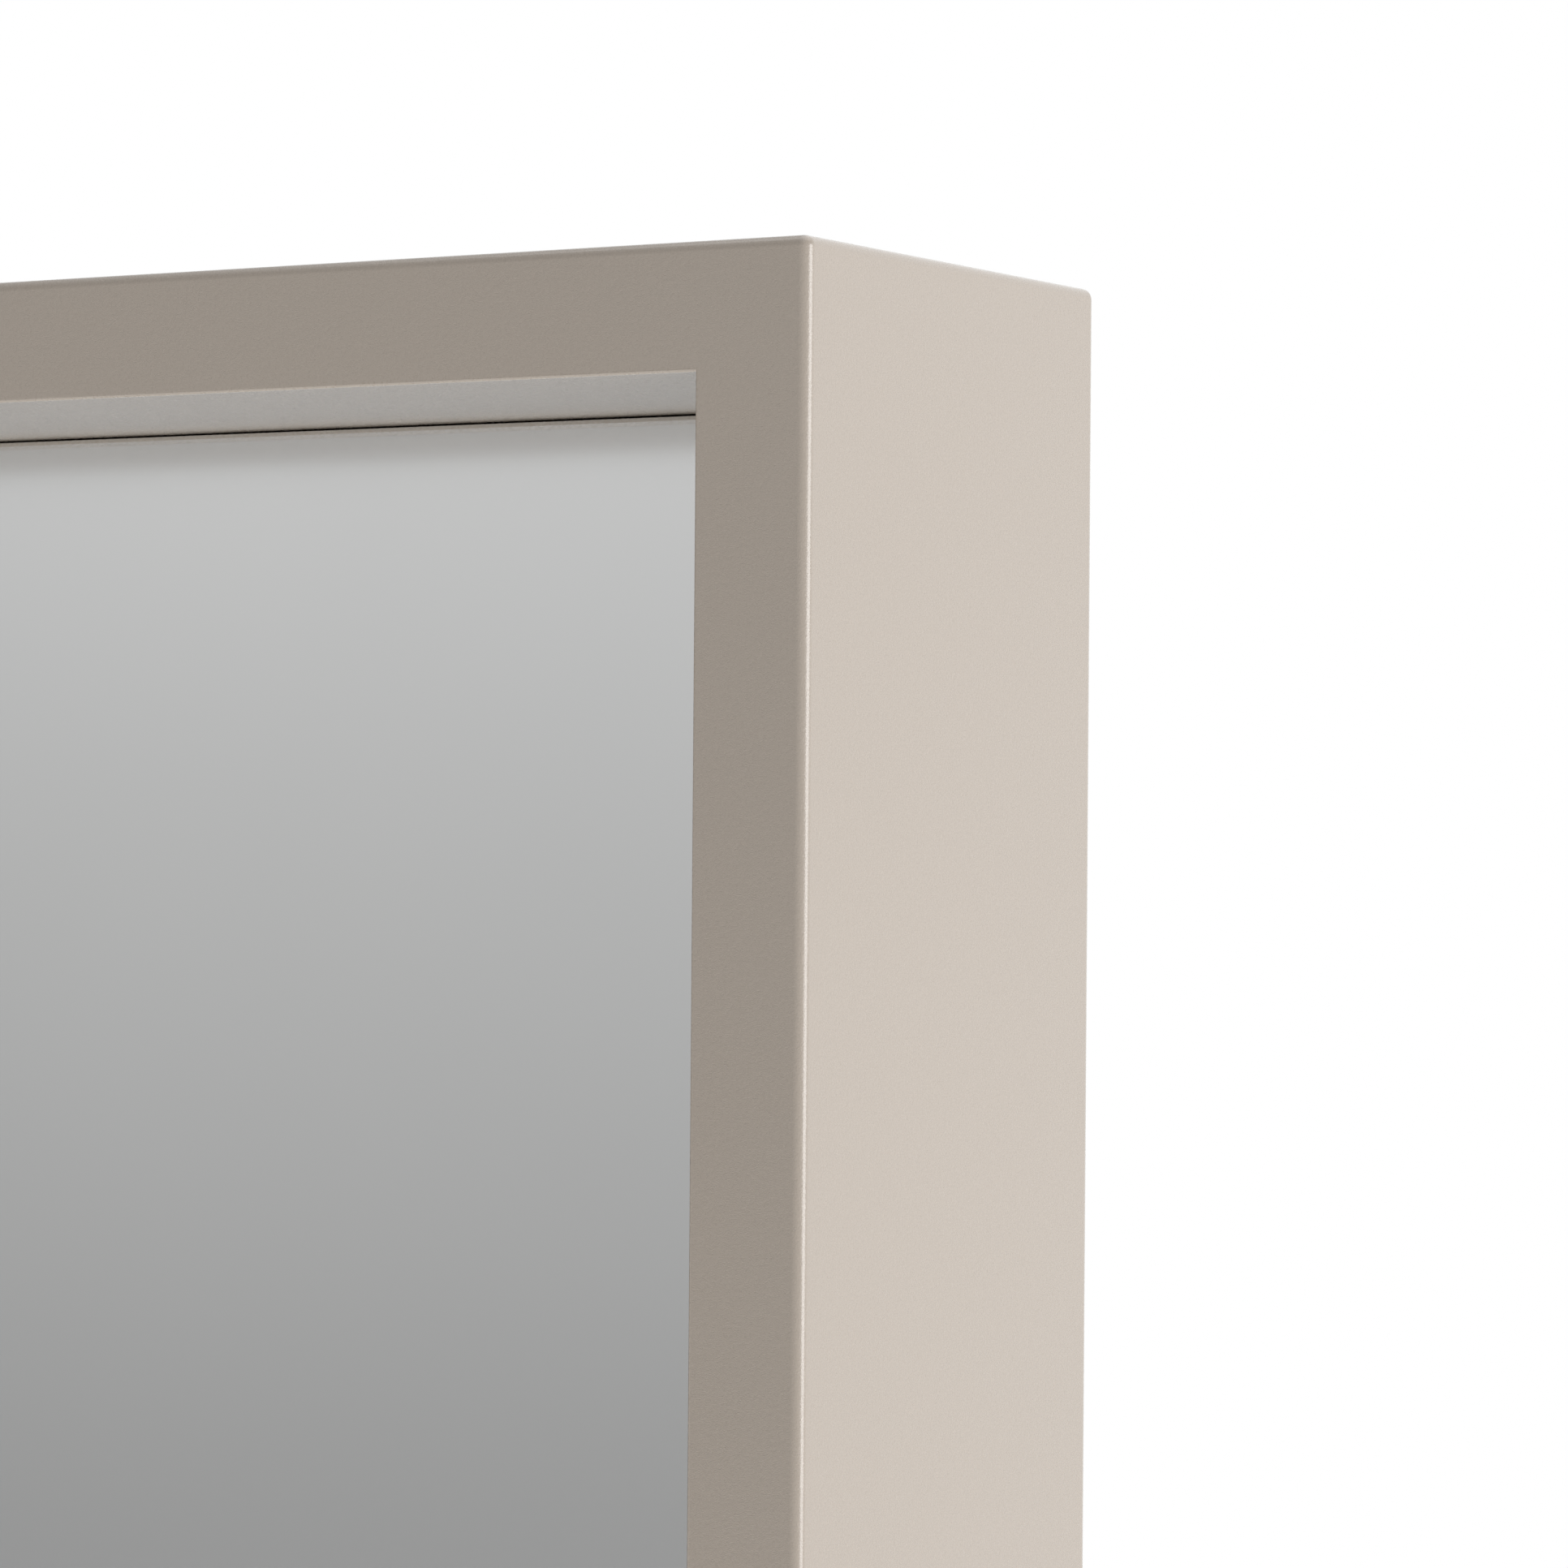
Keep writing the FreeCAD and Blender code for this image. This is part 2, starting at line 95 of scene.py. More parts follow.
def settle(piece: bpy.types.Object) -> None:
    """Moves a piece's place, turn and scale into its mesh.

    Args:
        piece: The object to settle at the origin.
    """
    activate(piece)
    bpy.ops.object.transform_apply(location=True, rotation=True, scale=True)


def add_block(name: str, low: Sequence[float], high: Sequence[float]) -> bpy.types.Object:
    """Adds a box between two corners.

    Args:
        name: The piece's name.
        low: Its lowest corner.
        high: Its highest corner.

    Returns:
        The new object, with its place in its mesh.
    """
    deselect()
    low, high = Vector(low), Vector(high)
    bpy.ops.mesh.primitive_cube_add(size=1.0, location=(low + high) / 2)
    piece = bpy.context.object
    piece.name = name
    piece.scale = high - low
    settle(piece)
    return piece


def add_rod(name: str, radius: float, start: Sequence[float], end: Sequence[float],
            sides: int = 48) -> bpy.types.Object:
    """Adds a round bar between two points.

    Args:
        name: The piece's name.
        radius: Its radius.
        start: The middle of one end.
        end: The middle of the other end.
        sides: How many flats make the round.

    Returns:
        The new object, with its place in its mesh.
    """
    deselect()
    start, end = Vector(start), Vector(end)
    bpy.ops.mesh.primitive_cylinder_add(vertices=sides, radius=radius, depth=(end - start).length,
                                        location=(start + end) / 2)
    piece = bpy.context.object
    piece.name = name
    piece.rotation_euler = (end - start).to_track_quat("Z", "Y").to_euler()
    settle(piece)
    return piece


def in_edit_mode(piece: bpy.types.Object, mode: str) -> bmesh.types.BMesh:
    """Opens a piece for editing with nothing selected.

    Args:
        piece: The object to edit.
        mode: The select mode: VERT, EDGE or FACE.

    Returns:
        The mesh being edited.
    """
    activate(piece)
    bpy.ops.object.mode_set(mode="EDIT")
    bpy.ops.mesh.select_mode(type=mode)
    bpy.ops.mesh.select_all(action="DESELECT")
    return bmesh.from_edit_mesh(piece.data)


def pick_faces(piece: bpy.types.Object, wanted: Callable[[Vector, Vector], bool]) -> None:
    """Opens a piece and selects faces by their middle and normal.

    Args:
        piece: The object to edit.
        wanted: Takes a face's middle and normal, and says whether it is wanted.
    """
    mesh = in_edit_mode(piece, "FACE")
    for face in mesh.faces:
        face.select_set(wanted(face.calc_center_median(), face.normal))
    bmesh.update_edit_mesh(piece.data)


def pick_edges(piece: bpy.types.Object, wanted: Callable[[Vector, Vector], bool]) -> None:
    """Opens a piece and selects edges by their two ends.

    Args:
        piece: The object to edit.
        wanted: Takes an edge's two ends, and says whether it is wanted.
    """
    mesh = in_edit_mode(piece, "EDGE")
    for edge in mesh.edges:
        edge.select_set(wanted(edge.verts[0].co, edge.verts[1].co))
    bmesh.update_edit_mesh(piece.data)


def bevel_picked(width: float, segments: int) -> None:
    """Rounds the selected edges and leaves edit mode.

    Args:
        width: The radius of the rounding.
        segments: How many steps round the corner.
    """
    bpy.ops.mesh.bevel(offset=width, offset_type="OFFSET", segments=segments, profile=0.5,
                       affect="EDGES", clamp_overlap=True)
    bpy.ops.object.mode_set(mode="OBJECT")


def add_modifier(piece: bpy.types.Object, kind: str, **settings: object) -> None:
    """Adds a modifier to a piece and applies it.

    Args:
        piece: The object to change.
        kind: The modifier's type.
        **settings: Its settings by name.
    """
    activate(piece)
    modifier = piece.modifiers.new(kind.lower(), kind)
    for key, value in settings.items():
        setattr(modifier, key, value)
    bpy.ops.object.modifier_apply(modifier=modifier.name)


def cut_away(piece: bpy.types.Object, cutters: Sequence[bpy.types.Object]) -> None:
    """Cuts shapes out of a piece and removes the cutters.

    Args:
        piece: The object that is cut.
        cutters: The shapes to take away.
    """
    for cutter in cutters:
        add_modifier(piece, "BOOLEAN", operation="DIFFERENCE", object=cutter, solver="EXACT")
        bpy.data.objects.remove(cutter)


def join(name: str, parts: Sequence[bpy.types.Object]) -> bpy.types.Object:
    """Joins objects into one piece.

    Args:
        name: The joined piece's name.
        parts: The objects to join.

    Returns:
        The joined piece.
    """
    activate(parts[0])
    for part in parts:
        part.select_set(True)
    if len(parts) > 1:
        bpy.ops.object.join()
    parts[0].name = name
    return parts[0]


def smooth(piece: bpy.types.Object, degrees: float = SHARP_EDGE) -> None:
    """Shades a piece smooth over its small roundings and keeps its flats flat.

    Args:
        piece: The object to shade.
        degrees: The sharpest turn that is still smooth.
    """
    activate(piece)
    bpy.ops.object.shade_smooth_by_angle(angle=math.radians(degrees))
    add_modifier(piece, "WEIGHTED_NORMAL", mode="FACE_AREA", weight=50, keep_sharp=True)


def face_outwards(piece: bpy.types.Object) -> None:
    """Merges doubled points and turns every face outwards.

    Args:
        piece: The object to mend.
    """
    activate(piece)
    bpy.ops.object.mode_set(mode="EDIT")
    bpy.ops.mesh.select_all(action="SELECT")
    bpy.ops.mesh.remove_doubles(threshold=0.001 * MM)
    bpy.ops.mesh.normals_make_consistent(inside=False)
    bpy.ops.object.mode_set(mode="OBJECT")


def softened_copy(node: str, name: str, radius: float, segments: int = 2) -> bpy.types.Object:
    """Copies a CAD node, clears its flat faces of triangles and rounds its edges.

    Args:
        node: The CAD node to copy.
        name: The new piece's name.
        radius: The rounding of its edges.
        segments: How many steps round an edge.

    Returns:
        The new piece.
    """
    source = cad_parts[node]
    piece = source.copy()
    piece.data = source.data.copy()
    piece.name = name
    piece.parent = None
    bpy.context.collection.objects.link(piece)
    piece.data.materials.clear()
    activate(piece)
    bpy.ops.object.mode_set(mode="EDIT")
    bpy.ops.mesh.select_all(action="SELECT")
    bpy.ops.mesh.remove_doubles(threshold=0.002 * MM)
    bpy.ops.mesh.dissolve_limited(angle_limit=math.radians(1.0))
    bpy.ops.object.mode_set(mode="OBJECT")
    add_modifier(piece, "BEVEL", width=radius, segments=segments, limit_method="ANGLE",
                 angle_limit=math.radians(SHARP_EDGE), use_clamp_overlap=True)
    smooth(piece)
    return piece


def place(piece: bpy.types.Object, body: Body, finishes: Sequence["Finish"],
          nodes: Sequence[str]) -> None:
    """Gives a finished piece its materials and its body.

    Args:
        piece: The finished object.
        body: The body that it rides on.
        finishes: Its finishes, in the order of its material slots.
        nodes: The CAD nodes that it stands for.
    """
    piece.data.materials.clear()
    for finish in finishes:
        piece.data.materials.append(finish.material())
    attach(piece, body.value)
    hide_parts(*nodes)
    LOG.info("%s on %s, for %s", piece.name, body.value, ", ".join(nodes))


def dress(node: str, finish: "Finish") -> None:
    """Gives a CAD node that keeps its shape a better material.

    Args:
        node: The CAD node.
        finish: The finish it takes.
    """
    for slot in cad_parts[node].material_slots:
        slot.material = finish.material()
    LOG.info("%s dressed in %s", node, type(finish).__name__)


def paint_faces(piece: bpy.types.Object, index: int, wanted: Callable[[Vector, Vector], bool]) -> None:
    """Gives some of a piece's faces another of its material slots.

    Args:
        piece: The object to paint.
        index: The material slot's number.
        wanted: Takes a face's middle and normal, and says whether it is painted.
    """
    for face in piece.data.polygons:
        if wanted(Vector(face.center), Vector(face.normal)):
            face.material_index = index


# ---- shader work ----------------------------------------------------------------------


class Socket:
    """A shader value. Arithmetic on it adds Math nodes to its graph."""

    def __init__(self, graph: "Graph", link: bpy.types.NodeSocket) -> None:
        """Wraps one output socket of a graph.

        Args:
            graph: The node tree that it is in.
            link: The output socket.
        """
        self.graph = graph
        self.link = link

    def _math(self, operation: str, first: object, second: object) -> "Socket":
        """Adds one Math node.

        Args:
            operation: What it works out.
            first: Its first value or socket.
            second: Its second value or socket.

        Returns:
            Its value.
        """
        return self.graph.node("ShaderNodeMath", {"operation": operation}, {0: first, 1: second})

    def __add__(self, other: object) -> "Socket":
        """Sum."""
        return self._math("ADD", self, other)

    __radd__ = __add__

    def __sub__(self, other: object) -> "Socket":
        """Difference."""
        return self._math("SUBTRACT", self, other)

    def __rsub__(self, other: object) -> "Socket":
        """Reflected difference."""
        return self._math("SUBTRACT", other, self)

    def __mul__(self, other: object) -> "Socket":
        """Product."""
        return self._math("MULTIPLY", self, other)

    __rmul__ = __mul__

    def clamped(self) -> "Socket":
        """The value held between 0 and 1."""
        return self.graph.node("ShaderNodeClamp", {}, {"Value": self})


class Graph:
    """The node tree of one material, with its Principled shader."""

    def __init__(self, name: str) -> None:
        """Starts an empty material with a shader and an output.

        Args:
            name: The material's name.
        """
        self.made = bpy.data.materials.new(name)
        self.made.use_nodes = True
        self.tree = self.made.node_tree
        self.tree.nodes.clear()
        self.shader = self.tree.nodes.new("ShaderNodeBsdfPrincipled")
        output = self.tree.nodes.new("ShaderNodeOutputMaterial")
        self.tree.links.new(self.shader.outputs[0], output.inputs["Surface"])

    def node(self, kind: str, settings: dict, inputs: dict, output: object = 0) -> Socket:
        """Adds a node.

        Args:
            kind: The node's type.
            settings: Its settings, which are made first; a ramp's stops go in "stops".
            inputs: Values or sockets for its inputs, by name or number.
            output: The output that is wanted, by name or number.

        Returns:
            That output, wrapped.
        """
        made = self.tree.nodes.new(kind)
        for key, value in settings.items():
            if key == "stops":
                self.set_stops(made.color_ramp, value)
            else:
                setattr(made, key, value)
        for key, value in inputs.items():
            if isinstance(value, Socket):
                self.tree.links.new(value.link, made.inputs[key])
            else:
                made.inputs[key].default_value = value
        return Socket(self, made.outputs[output])

    @staticmethod
    def set_stops(ramp: bpy.types.ColorRamp, stops: Sequence[tuple[float, Colour]]) -> None:
        """Writes stops into a colour ramp.

        Args:
            ramp: The ramp to fill.
            stops: (place, colour) of each stop, from 0 to 1.
        """
        while len(ramp.elements) > 1:
            ramp.elements.remove(ramp.elements[-1])
        ramp.elements[0].position, ramp.elements[0].color = stops[0][0], (*stops[0][1], 1.0)
        for position, colour in stops[1:]:
            ramp.elements.new(position).color = (*colour, 1.0)

    def place(self) -> Socket:
        """Object coordinates, in metres."""
        return self.node("ShaderNodeTexCoord", {}, {}, "Object")

    def stretched(self, scale: Sequence[float]) -> Socket:
        """Object coordinates stretched along the axes.

        Args:
            scale: The stretch along X, Y and Z.

        Returns:
            The stretched coordinates.
        """
        return self.node("ShaderNodeMapping", {}, {"Vector": self.place(), "Scale": scale})

    def noise(self, size: float, detail: float = 2.0, roughness: float = 0.5,
              where: "Socket | None" = None) -> Socket:
        """Noise whose lumps are about one size.

        Args:
            size: The lumps' size, in metres.
            detail: How many finer layers it has.
            roughness: How strong the finer layers are.
            where: The coordinates, or none for plain object coordinates.

        Returns:
            Values around 0.5.
        """
        return self.node("ShaderNodeTexNoise", {}, {"Vector": where or self.place(), "Scale": 1.0 / size,
                                                    "Detail": detail, "Roughness": roughness})

    def blend(self, factor: object, first: object, second: object) -> Socket:
        """Mixes two colours.

        Args:
            factor: 0 for the first, 1 for the second.
            first: A colour or socket.
            second: A colour or socket.

        Returns:
            The mixed colour.
        """
        return self.node("ShaderNodeMix", {"data_type": "RGBA"},
                         {"Factor": factor, 6: self._colour(first), 7: self._colour(second)}, 2)

    @staticmethod
    def _colour(value: object) -> object:
        """A colour with its alpha, or a socket as it is."""
        return value if isinstance(value, Socket) else (*value, 1.0)

    def bump(self, height: Socket, strength: float, distance: float) -> Socket:
        """Turns a height into a normal.

        Args:
            height: The height, 0 to 1.
            strength: How much of it shows.
            distance: The real height of 1, in metres.

        Returns:
            The bumped normal.
        """
        return self.node("ShaderNodeBump", {}, {"Height": height, "Strength": strength, "Distance": distance})

    def finish(self, **values: object) -> bpy.types.Material:
        """Sets the shader's sockets, with underscores for the spaces in their names.

        Args:
            **values: Values or sockets by socket name.

        Returns:
            The finished material.
        """
        for key, value in values.items():
            socket = self.shader.inputs[key.replace("_", " ")]
            if isinstance(value, Socket):
                self.tree.links.new(value.link, socket)
            else:
                socket.default_value = self._colour(value) if isinstance(value, tuple) else value
        return self.made


def toned(colour: Colour, share: float) -> Colour:
    """A colour made darker or lighter by one share in all its parts.

    Args:
        colour: The colour to change.
        share: Under 1 for darker, over 1 for lighter.

    Returns:
        The changed colour.
    """
    return tuple(part * share for part in colour)


class Finish:
    """A finish that makes its material once."""

    made: "ClassVar[dict[Finish, bpy.types.Material]]" = {}

    def build(self) -> bpy.types.Material:
        """Makes the material."""
        raise NotImplementedError

    def material(self) -> bpy.types.Material:
        """The material, made the first time it is asked for.

        Returns:
            The one material of this finish.
        """
        if self not in self.made:
            self.made[self] = self.build()
        return self.made[self]


@dataclass(frozen=True)
class Lacquer(Finish):
    """Sprayed satin-matt lacquer with a fine orange peel."""

    colour: Colour = (0.369, 0.318, 0.269)
    deeper: Colour = (0.354, 0.304, 0.256)
    peel_size: float = 1.1 * MM
    grain_size: float = 0.28 * MM
    peel_height: float = 0.145 * MM
    roughness: float = 0.28

    def build(self) -> bpy.types.Material:
        """Mottles the colour slightly and lifts the surface in two sizes of peel.

        Returns:
            The material.
        """
        graph = Graph("greige_lacquer")
        cloud = graph.noise(60 * MM, 3.0)
        grain = graph.noise(self.grain_size, 1.0)
        peel = graph.noise(self.peel_size, 2.0, 0.6)
        mottle = (cloud * 0.15 + grain * 0.85).clamped()
        return graph.finish(
            Base_Color=graph.blend(mottle, self.deeper, self.colour),
            Roughness=self.roughness + (peel - 0.5) * 0.10 + (cloud - 0.5) * 0.015,
            IOR=1.5, Coat_Weight=0.85, Coat_Roughness=0.14,
            Normal=graph.bump(peel * 0.45 + grain * 0.55, 1.0, self.peel_height))


@dataclass(frozen=True)
class Silvering(Finish):
    """Mirror silvering seen through its glass."""

    tint: Colour = (0.805, 0.81, 0.807)
    roughness: float = 0.13

    def build(self) -> bpy.types.Material:
        """A nearly even mirror with the faintest ripple of float glass.

        Returns:
            The material.
        """
        graph = Graph("mirror_silvering")
        ripple = graph.noise(220 * MM, 0.0)
        haze = graph.noise(60 * MM, 1.0)
        return graph.finish(
            Base_Color=graph.blend(haze, self.tint, toned(self.tint, 0.985)),
            Metallic=1.0,
            Roughness=self.roughness + haze * 0.01,
            Normal=graph.bump(ripple, 0.1, 0.02 * MM))


@dataclass(frozen=True)
class GroundGlass(Finish):
    """The ground and polished bevel and edge of a pane; each facet's colour is set light or dark to paint the
    light and shade of its strip.
    """

    # The default colour is pale ground glass, lightened to paint the bright strip on the outer facet.
    name: str = "ground_glass_outer_painted_light"
    colour: Colour = (0.88, 0.93, 0.90)
    roughness: float = 0.30

    def build(self) -> bpy.types.Material:
        """Fine grinding marks along the edge.

        Returns:
            The material.
        """
        graph = Graph(self.name)
        marks = graph.noise(0.5 * MM, 2.0)
        return graph.finish(
            Base_Color=graph.blend(marks, toned(self.colour, 0.9), self.colour),
            Roughness=self.roughness + (marks - 0.5) * 0.2,
            Specular_IOR_Level=0.6,
            Normal=graph.bump(marks, 0.3, 0.01 * MM))


@dataclass(frozen=True)
class ClearGlass(Finish):
    """Toughened float glass, faintly green."""

    tint: Colour = (0.93, 0.985, 0.965)

    def build(self) -> bpy.types.Material:
        """Clear glass with a trace of smears in its gloss.

        Returns:
            The material.
        """
        graph = Graph("shelf_glass")
        smear = graph.noise(30 * MM, 3.0)
        return graph.finish(
            Base_Color=self.tint, Transmission_Weight=1.0, IOR=1.52,
            Roughness=0.01 + smear * 0.02)


@dataclass(frozen=True)
class GreenEdge(Finish):
    """The polished edge of a glass shelf, where its green collects."""

    colour: Colour = (0.10, 0.34, 0.27)

    def build(self) -> bpy.types.Material:
        """Deep green glass with fine polishing marks.

        Returns:
            The material.
        """
        graph = Graph("shelf_glass_edge")
        marks = graph.noise(1.5 * MM, 2.0, where=graph.stretched((0.2, 0.2, 1.0)))
        return graph.finish(
            Base_Color=graph.blend(marks, self.colour, toned(self.colour, 0.82)),
            Transmission_Weight=0.35, IOR=1.52,
            Roughness=0.10 + marks * 0.08)


@dataclass(frozen=True)
class FibreBoard(Finish):
    """Bare medium-density board: fine brown fibres, pressed smooth."""

    colour: Colour = (0.40, 0.285, 0.185)
    deeper: Colour = (0.315, 0.215, 0.135)

    def build(self) -> bpy.types.Material:
        """Short fibres and soft clouds of colour.

        Returns:
            The material.
        """
        graph = Graph("bare_fibreboard")
        fibres = graph.noise(1.2 * MM, 4.0, 0.7, graph.stretched((1.0, 1.0, 0.35)))
        clouds = graph.noise(45 * MM, 3.0)
        mask = ((fibres - 0.5) * 2.2 + (clouds - 0.5) * 0.8 + 0.5).clamped()
        return graph.finish(
            Base_Color=graph.blend(mask, self.deeper, self.colour),
            Roughness=0.72 + fibres * 0.12,
            Normal=graph.bump(fibres, 0.5, 0.05 * MM))


class Run(Enum):
    """The direction that wood grain runs in."""

    ACROSS = (0.06, 1.0, 1.0)
    UPRIGHT = (1.0, 1.0, 0.06)


@dataclass(frozen=True)
class Softwood(Finish):
    """Planed pine with its rings along the rail."""

    run: Run
    pale: Colour = (0.66, 0.49, 0.30)
    ring: Colour = (0.47, 0.29, 0.145)

    def build(self) -> bpy.types.Material:
        """Rings, pores and a light planed gloss.

        Returns:
            The material.
        """
        graph = Graph("pine_" + self.run.name.lower())
        where = graph.stretched(self.run.value)
        wobble = graph.noise(18 * MM, 2.0, 0.5, where)
        lines = graph.node("ShaderNodeTexWave", {"wave_type": "RINGS", "rings_direction": "Y"},
                           {"Vector": where, "Scale": 55.0, "Distortion": 6.0, "Detail": 2.0}, 1)
        pores = graph.noise(0.5 * MM, 3.0, 0.6, where)
        mask = (lines * 0.7 + (wobble - 0.5) * 0.8 + (pores - 0.5) * 0.5).clamped()
        return graph.finish(
            Base_Color=graph.blend(mask, self.pale, self.ring),
            Roughness=0.55 + pores * 0.2,
            Normal=graph.bump(pores * 0.6 + lines * 0.4, 0.4, 0.04 * MM))


@dataclass(frozen=True)
class Plywood(Finish):
    """Thin birch plywood."""

    pale: Colour = (0.68, 0.54, 0.36)
    dark: Colour = (0.43, 0.29, 0.16)

    def build(self) -> bpy.types.Material:
        """Veneer figure along the strip.

        Returns:
            The material.
        """
        graph = Graph("birch_ply")
        figure = graph.noise(2 * MM, 4.0, 0.6, graph.stretched((1.0, 0.08, 1.0)))
        return graph.finish(
            Base_Color=graph.blend(figure, self.pale, self.dark),
            Roughness=0.6 + figure * 0.1)


@dataclass(frozen=True)
class ZincPlate(Finish):
    """Zinc-plated steel with a faint blue passivation."""

    colour: Colour = (0.47, 0.49, 0.52)
    warm: Colour = (0.52, 0.50, 0.44)
    roughness: float = 0.32

    def build(self) -> bpy.types.Material:
        """Plated colour drift, rolling marks and scuffs.

        Returns:
            The material.
        """
        graph = Graph("zinc_plate")
        drift = graph.noise(14 * MM, 3.0)
        rolled = graph.noise(0.8 * MM, 3.0, 0.6, graph.stretched((1.0, 1.0, 0.1)))
        scuffs = graph.noise(4 * MM, 5.0, 0.75)
        return graph.finish(
            Base_Color=graph.blend((drift * 1.6 - 0.3).clamped(), self.colour, self.warm),
            Metallic=1.0,
            Roughness=(self.roughness + (rolled - 0.5) * 0.18 + (scuffs - 0.5) * 0.25).clamped(),
            Normal=graph.bump(rolled * 0.6 + scuffs * 0.4, 0.25, 0.02 * MM))


@dataclass(frozen=True)
class Nickel(Finish):
    """Turned and nickel-plated fittings."""

    colour: Colour = (0.70, 0.66, 0.61)

    def build(self) -> bpy.types.Material:
        """Bright plating over fine turning marks.

        Returns:
            The material.
        """
        graph = Graph("nickel_plate")
        turned = graph.noise(0.25 * MM, 2.0, 0.5, graph.stretched((1.0, 0.1, 0.1)))
        return graph.finish(
            Base_Color=graph.blend(turned, self.colour, toned(self.colour, 0.93)),
            Metallic=1.0,
            Roughness=0.16 + turned * 0.12)


@dataclass(frozen=True)
class Silicone(Finish):
    """Clear soft pads."""

    colour: Colour = (0.86, 0.88, 0.88)

    def build(self) -> bpy.types.Material:
        """Cloudy and slightly tacky, with lint in its gloss.

        Returns:
            The material.
        """
        graph = Graph("clear_silicone")
        cloud = graph.noise(1.5 * MM, 3.0)
        return graph.finish(
            Base_Color=self.colour, Transmission_Weight=0.7, IOR=1.41,
            Roughness=0.25 + cloud * 0.2,
            Normal=graph.bump(cloud, 0.3, 0.03 * MM))


@dataclass(frozen=True)
class FoamTape(Finish):
    """Black double-sided mounting foam."""

    colour: Colour = (0.035, 0.035, 0.037)

    def build(self) -> bpy.types.Material:
        """Closed-cell pores.

        Returns:
            The material.
        """
        graph = Graph("foam_tape")
        cells = graph.node("ShaderNodeTexVoronoi", {"feature": "F1"},
                           {"Vector": graph.place(), "Scale": 1.0 / (0.4 * MM)}, "Distance")
        return graph.finish(
            Base_Color=graph.blend(cells, self.colour, toned(self.colour, 2.0)),
            Roughness=0.9 - cells * 0.1,
            Normal=graph.bump(cells, 0.6, 0.08 * MM))


@dataclass(frozen=True)
class CapPlastic(Finish):
    """Moulded cap in the colour of the lacquer."""

    colour: Colour = (0.45, 0.39, 0.335)

    def build(self) -> bpy.types.Material:
        """A fine spark-eroded texture.

        Returns:
            The material.
        """
        graph = Graph("cap_plastic")
        texture = graph.noise(0.35 * MM, 2.0)
        return graph.finish(
            Base_Color=graph.blend(texture, self.colour, toned(self.colour, 0.94)),
            Roughness=0.5 + (texture - 0.5) * 0.2,
            Normal=graph.bump(texture, 0.5, 0.02 * MM))


LACQUER = Lacquer()
# Outer facet: pale ground glass, lightened to paint the bright strip of light on the bevel.
OUTER_FACET_PAINTED_LIGHT = GroundGlass()
# Inner facet: the same ground glass, darkened to paint the grey strip of shade under the bright one.
INNER_FACET_PAINTED_SHADE = GroundGlass("ground_glass_inner_painted_shade", (0.29, 0.31, 0.30))
ZINC = ZincPlate()
NICKEL = Nickel()


# ---- sub-assemblies ---------------------------------------------------------------------


